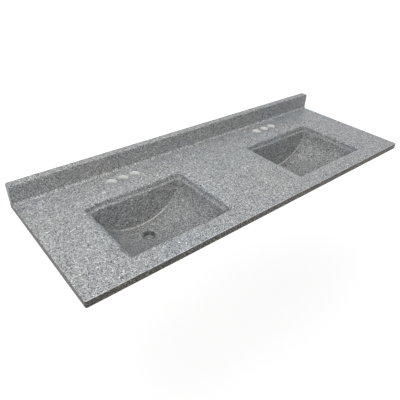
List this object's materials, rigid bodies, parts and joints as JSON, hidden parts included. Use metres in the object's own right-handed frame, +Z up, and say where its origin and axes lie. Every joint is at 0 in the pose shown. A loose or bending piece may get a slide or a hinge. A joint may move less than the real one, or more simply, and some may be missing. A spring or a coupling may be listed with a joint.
{
  "type": "vanity sink top",
  "caption": "Wide vanity top with rectangular barrel-floored undermount bowls, dished stepped openings, centreset faucet holes and a coved backsplash.",
  "frame": {"origin": "plan centre of the top, on the plane of its underside where it sits on the cabinet", "axes": "+X to the right along the wall, +Y towards the wall, +Z up"},
  "size_m": [1.549, 0.559, 0.2785],
  "materials": {
    "deck_stone": "satin grey speckled granite-look face, pale body in the drilled holes",
    "build_up_stone": "granite-look face on the edges, sawn pale body underneath",
    "bowl_stone": "moulded satin granite-look face inside, pale body outside",
    "channel_stone": "raw pale resin body, as moulded",
    "cove_stone": "satin solid surface, a shade lighter"
  },
  "bodies": {
    "root": {"deck_sheet": "deck_stone", "front_edge_strip": "build_up_stone", "left_edge_strip": "build_up_stone", "right_edge_strip": "build_up_stone", "back_edge_strip": "build_up_stone", "centre_rail": "build_up_stone", "rim_ring_left": "build_up_stone", "rim_ring_right": "build_up_stone", "bowl_left": "bowl_stone", "bowl_right": "bowl_stone", "overflow_channel_left": "channel_stone", "overflow_channel_right": "channel_stone", "backsplash": "deck_stone", "cove_strip": "cove_stone"}
  },
  "joints": []
}
